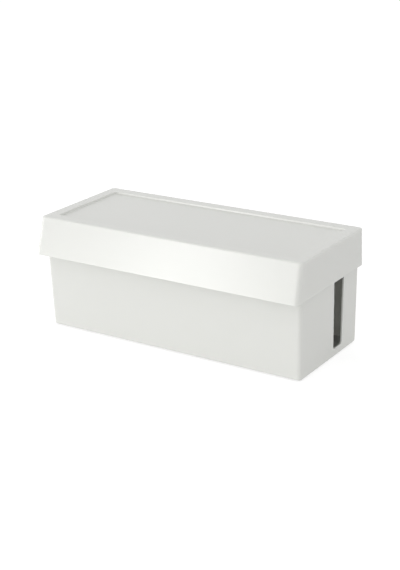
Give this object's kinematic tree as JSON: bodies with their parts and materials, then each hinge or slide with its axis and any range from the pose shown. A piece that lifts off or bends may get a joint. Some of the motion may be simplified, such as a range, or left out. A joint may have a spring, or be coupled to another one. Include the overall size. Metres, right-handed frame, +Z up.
{
  "type": "cable management box",
  "caption": "Long open-topped box with a cable slot in each end, four soft feet and a lift-off lid with an overhanging skirt and a recessed top.",
  "frame": {"origin": "on the surface the feet stand on, under the middle of the lid's lower edge", "axes": "+X along the box, -Y towards its front with the leaning skirt, +Z up"},
  "size_m": [0.32, 0.1398, 0.125],
  "materials": {
    "white_plastic": "fine satin moulded polypropylene, slightly warm white",
    "foot_rubber": "soft pale grey elastomer disc"
  },
  "bodies": {
    "tub": {"tub": "white_plastic", "foot_front_left": "foot_rubber", "foot_front_right": "foot_rubber", "foot_back_left": "foot_rubber", "foot_back_right": "foot_rubber"},
    "lid": {"lid": "white_plastic"}
  },
  "joints": [
    {"name": "lid_lift", "type": "slide", "parent": "tub", "child": "lid", "axis": [0, 0, 1], "range_m": [0, 0.1]}
  ]
}
